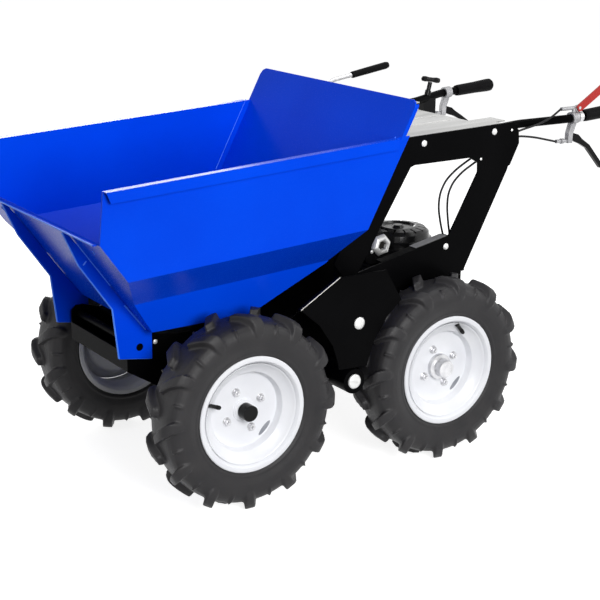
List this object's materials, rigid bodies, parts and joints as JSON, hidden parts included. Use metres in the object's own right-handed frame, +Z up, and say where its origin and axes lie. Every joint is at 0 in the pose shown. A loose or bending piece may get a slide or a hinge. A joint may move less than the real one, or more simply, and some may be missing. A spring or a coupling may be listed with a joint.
{
  "type": "walk-behind site dumper",
  "caption": "Walk-behind four wheel site dumper with a tipping skip, lug tyres, a petrol engine and two handlebars.",
  "frame": {"origin": "on the floor, at the middle of the overall length and width", "axes": "+X to the dump end, +Y to the left side, +Z up"},
  "size_m": [1.6051, 0.7394, 0.9389],
  "materials": {
    "black_paint": "gloss",
    "black_plastic": "gloss",
    "blue_paint": "gloss",
    "bright_steel": "satin",
    "cable_sheath": "satin",
    "engine_black": "satin",
    "grey_sheet": "satin",
    "grip_rubber": "matte",
    "red_paint": "gloss",
    "rim_paint": "satin",
    "tyre_rubber": "matte"
  },
  "bodies": {
    "chassis": {"axleHousingFront": "black_paint", "axleHousingRear": "black_paint", "cableLowerLeft": "cable_sheath", "cableUpperLeft": "cable_sheath", "chassisDeck": "black_paint", "chassisNose": "black_paint", "chassisSideLeft": "black_paint", "chassisSideRight": "black_paint", "chokeKnob": "black_plastic", "chokeStem": "black_plastic", "consoleTray": "grey_sheet", "controlBox": "black_paint", "driveLever": "red_paint", "driveLeverPerch": "bright_steel", "engineCase": "engine_black", "engineCylinder": "engine_black", "engineFuelCap": "engine_black", "engineOutlet": "bright_steel", "engineSilencer": "engine_black", "engineStarter": "engine_black", "engineTank": "engine_black", "gripLeft": "grip_rubber", "gripRight": "grip_rubber", "handleFrameLeft": "black_paint", "handleFrameRight": "black_paint", "handlebarLeft": "black_paint", "handlebarRight": "black_paint", "leverBladeLeft": "black_paint", "leverBladeRight": "black_paint", "leverBracketLeft": "bright_steel", "leverBracketRight": "bright_steel", "pivotPin": "black_paint", "shiftLeverGrip": "grip_rubber", "shiftLeverRod": "bright_steel"},
    "skip": {"skipGussetLeft": "blue_paint", "skipGussetRight": "blue_paint", "skipTub": "blue_paint"},
    "wheelFrontLeft": {"hubCapFrontLeft": "black_plastic", "rimFrontLeft": "rim_paint", "tyreFrontLeft": "tyre_rubber"},
    "wheelFrontRight": {"hubCapFrontRight": "black_plastic", "rimFrontRight": "rim_paint", "tyreFrontRight": "tyre_rubber"},
    "wheelRearLeft": {"rimRearLeft": "rim_paint", "tyreRearLeft": "tyre_rubber"},
    "wheelRearRight": {"rimRearRight": "rim_paint", "tyreRearRight": "tyre_rubber"}
  },
  "joints": [
    {"name": "skip_tip", "type": "hinge", "parent": "chassis", "child": "skip", "pos_m": [0.6185, 0, 0.383], "axis": [0, 1, 0], "range_deg": [0, 80]},
    {"name": "spinFrontLeft", "type": "hinge", "parent": "chassis", "child": "wheelFrontLeft", "pos_m": [0.4285, 0.3115, 0.238], "axis": [0, 1, 0], "continuous": true},
    {"name": "spinFrontRight", "type": "hinge", "parent": "chassis", "child": "wheelFrontRight", "pos_m": [0.4285, -0.3115, 0.238], "axis": [0, 1, 0], "continuous": true},
    {"name": "spinRearLeft", "type": "hinge", "parent": "chassis", "child": "wheelRearLeft", "pos_m": [-0.1555, 0.3115, 0.238], "axis": [0, 1, 0], "continuous": true},
    {"name": "spinRearRight", "type": "hinge", "parent": "chassis", "child": "wheelRearRight", "pos_m": [-0.1555, -0.3115, 0.238], "axis": [0, 1, 0], "continuous": true}
  ]
}
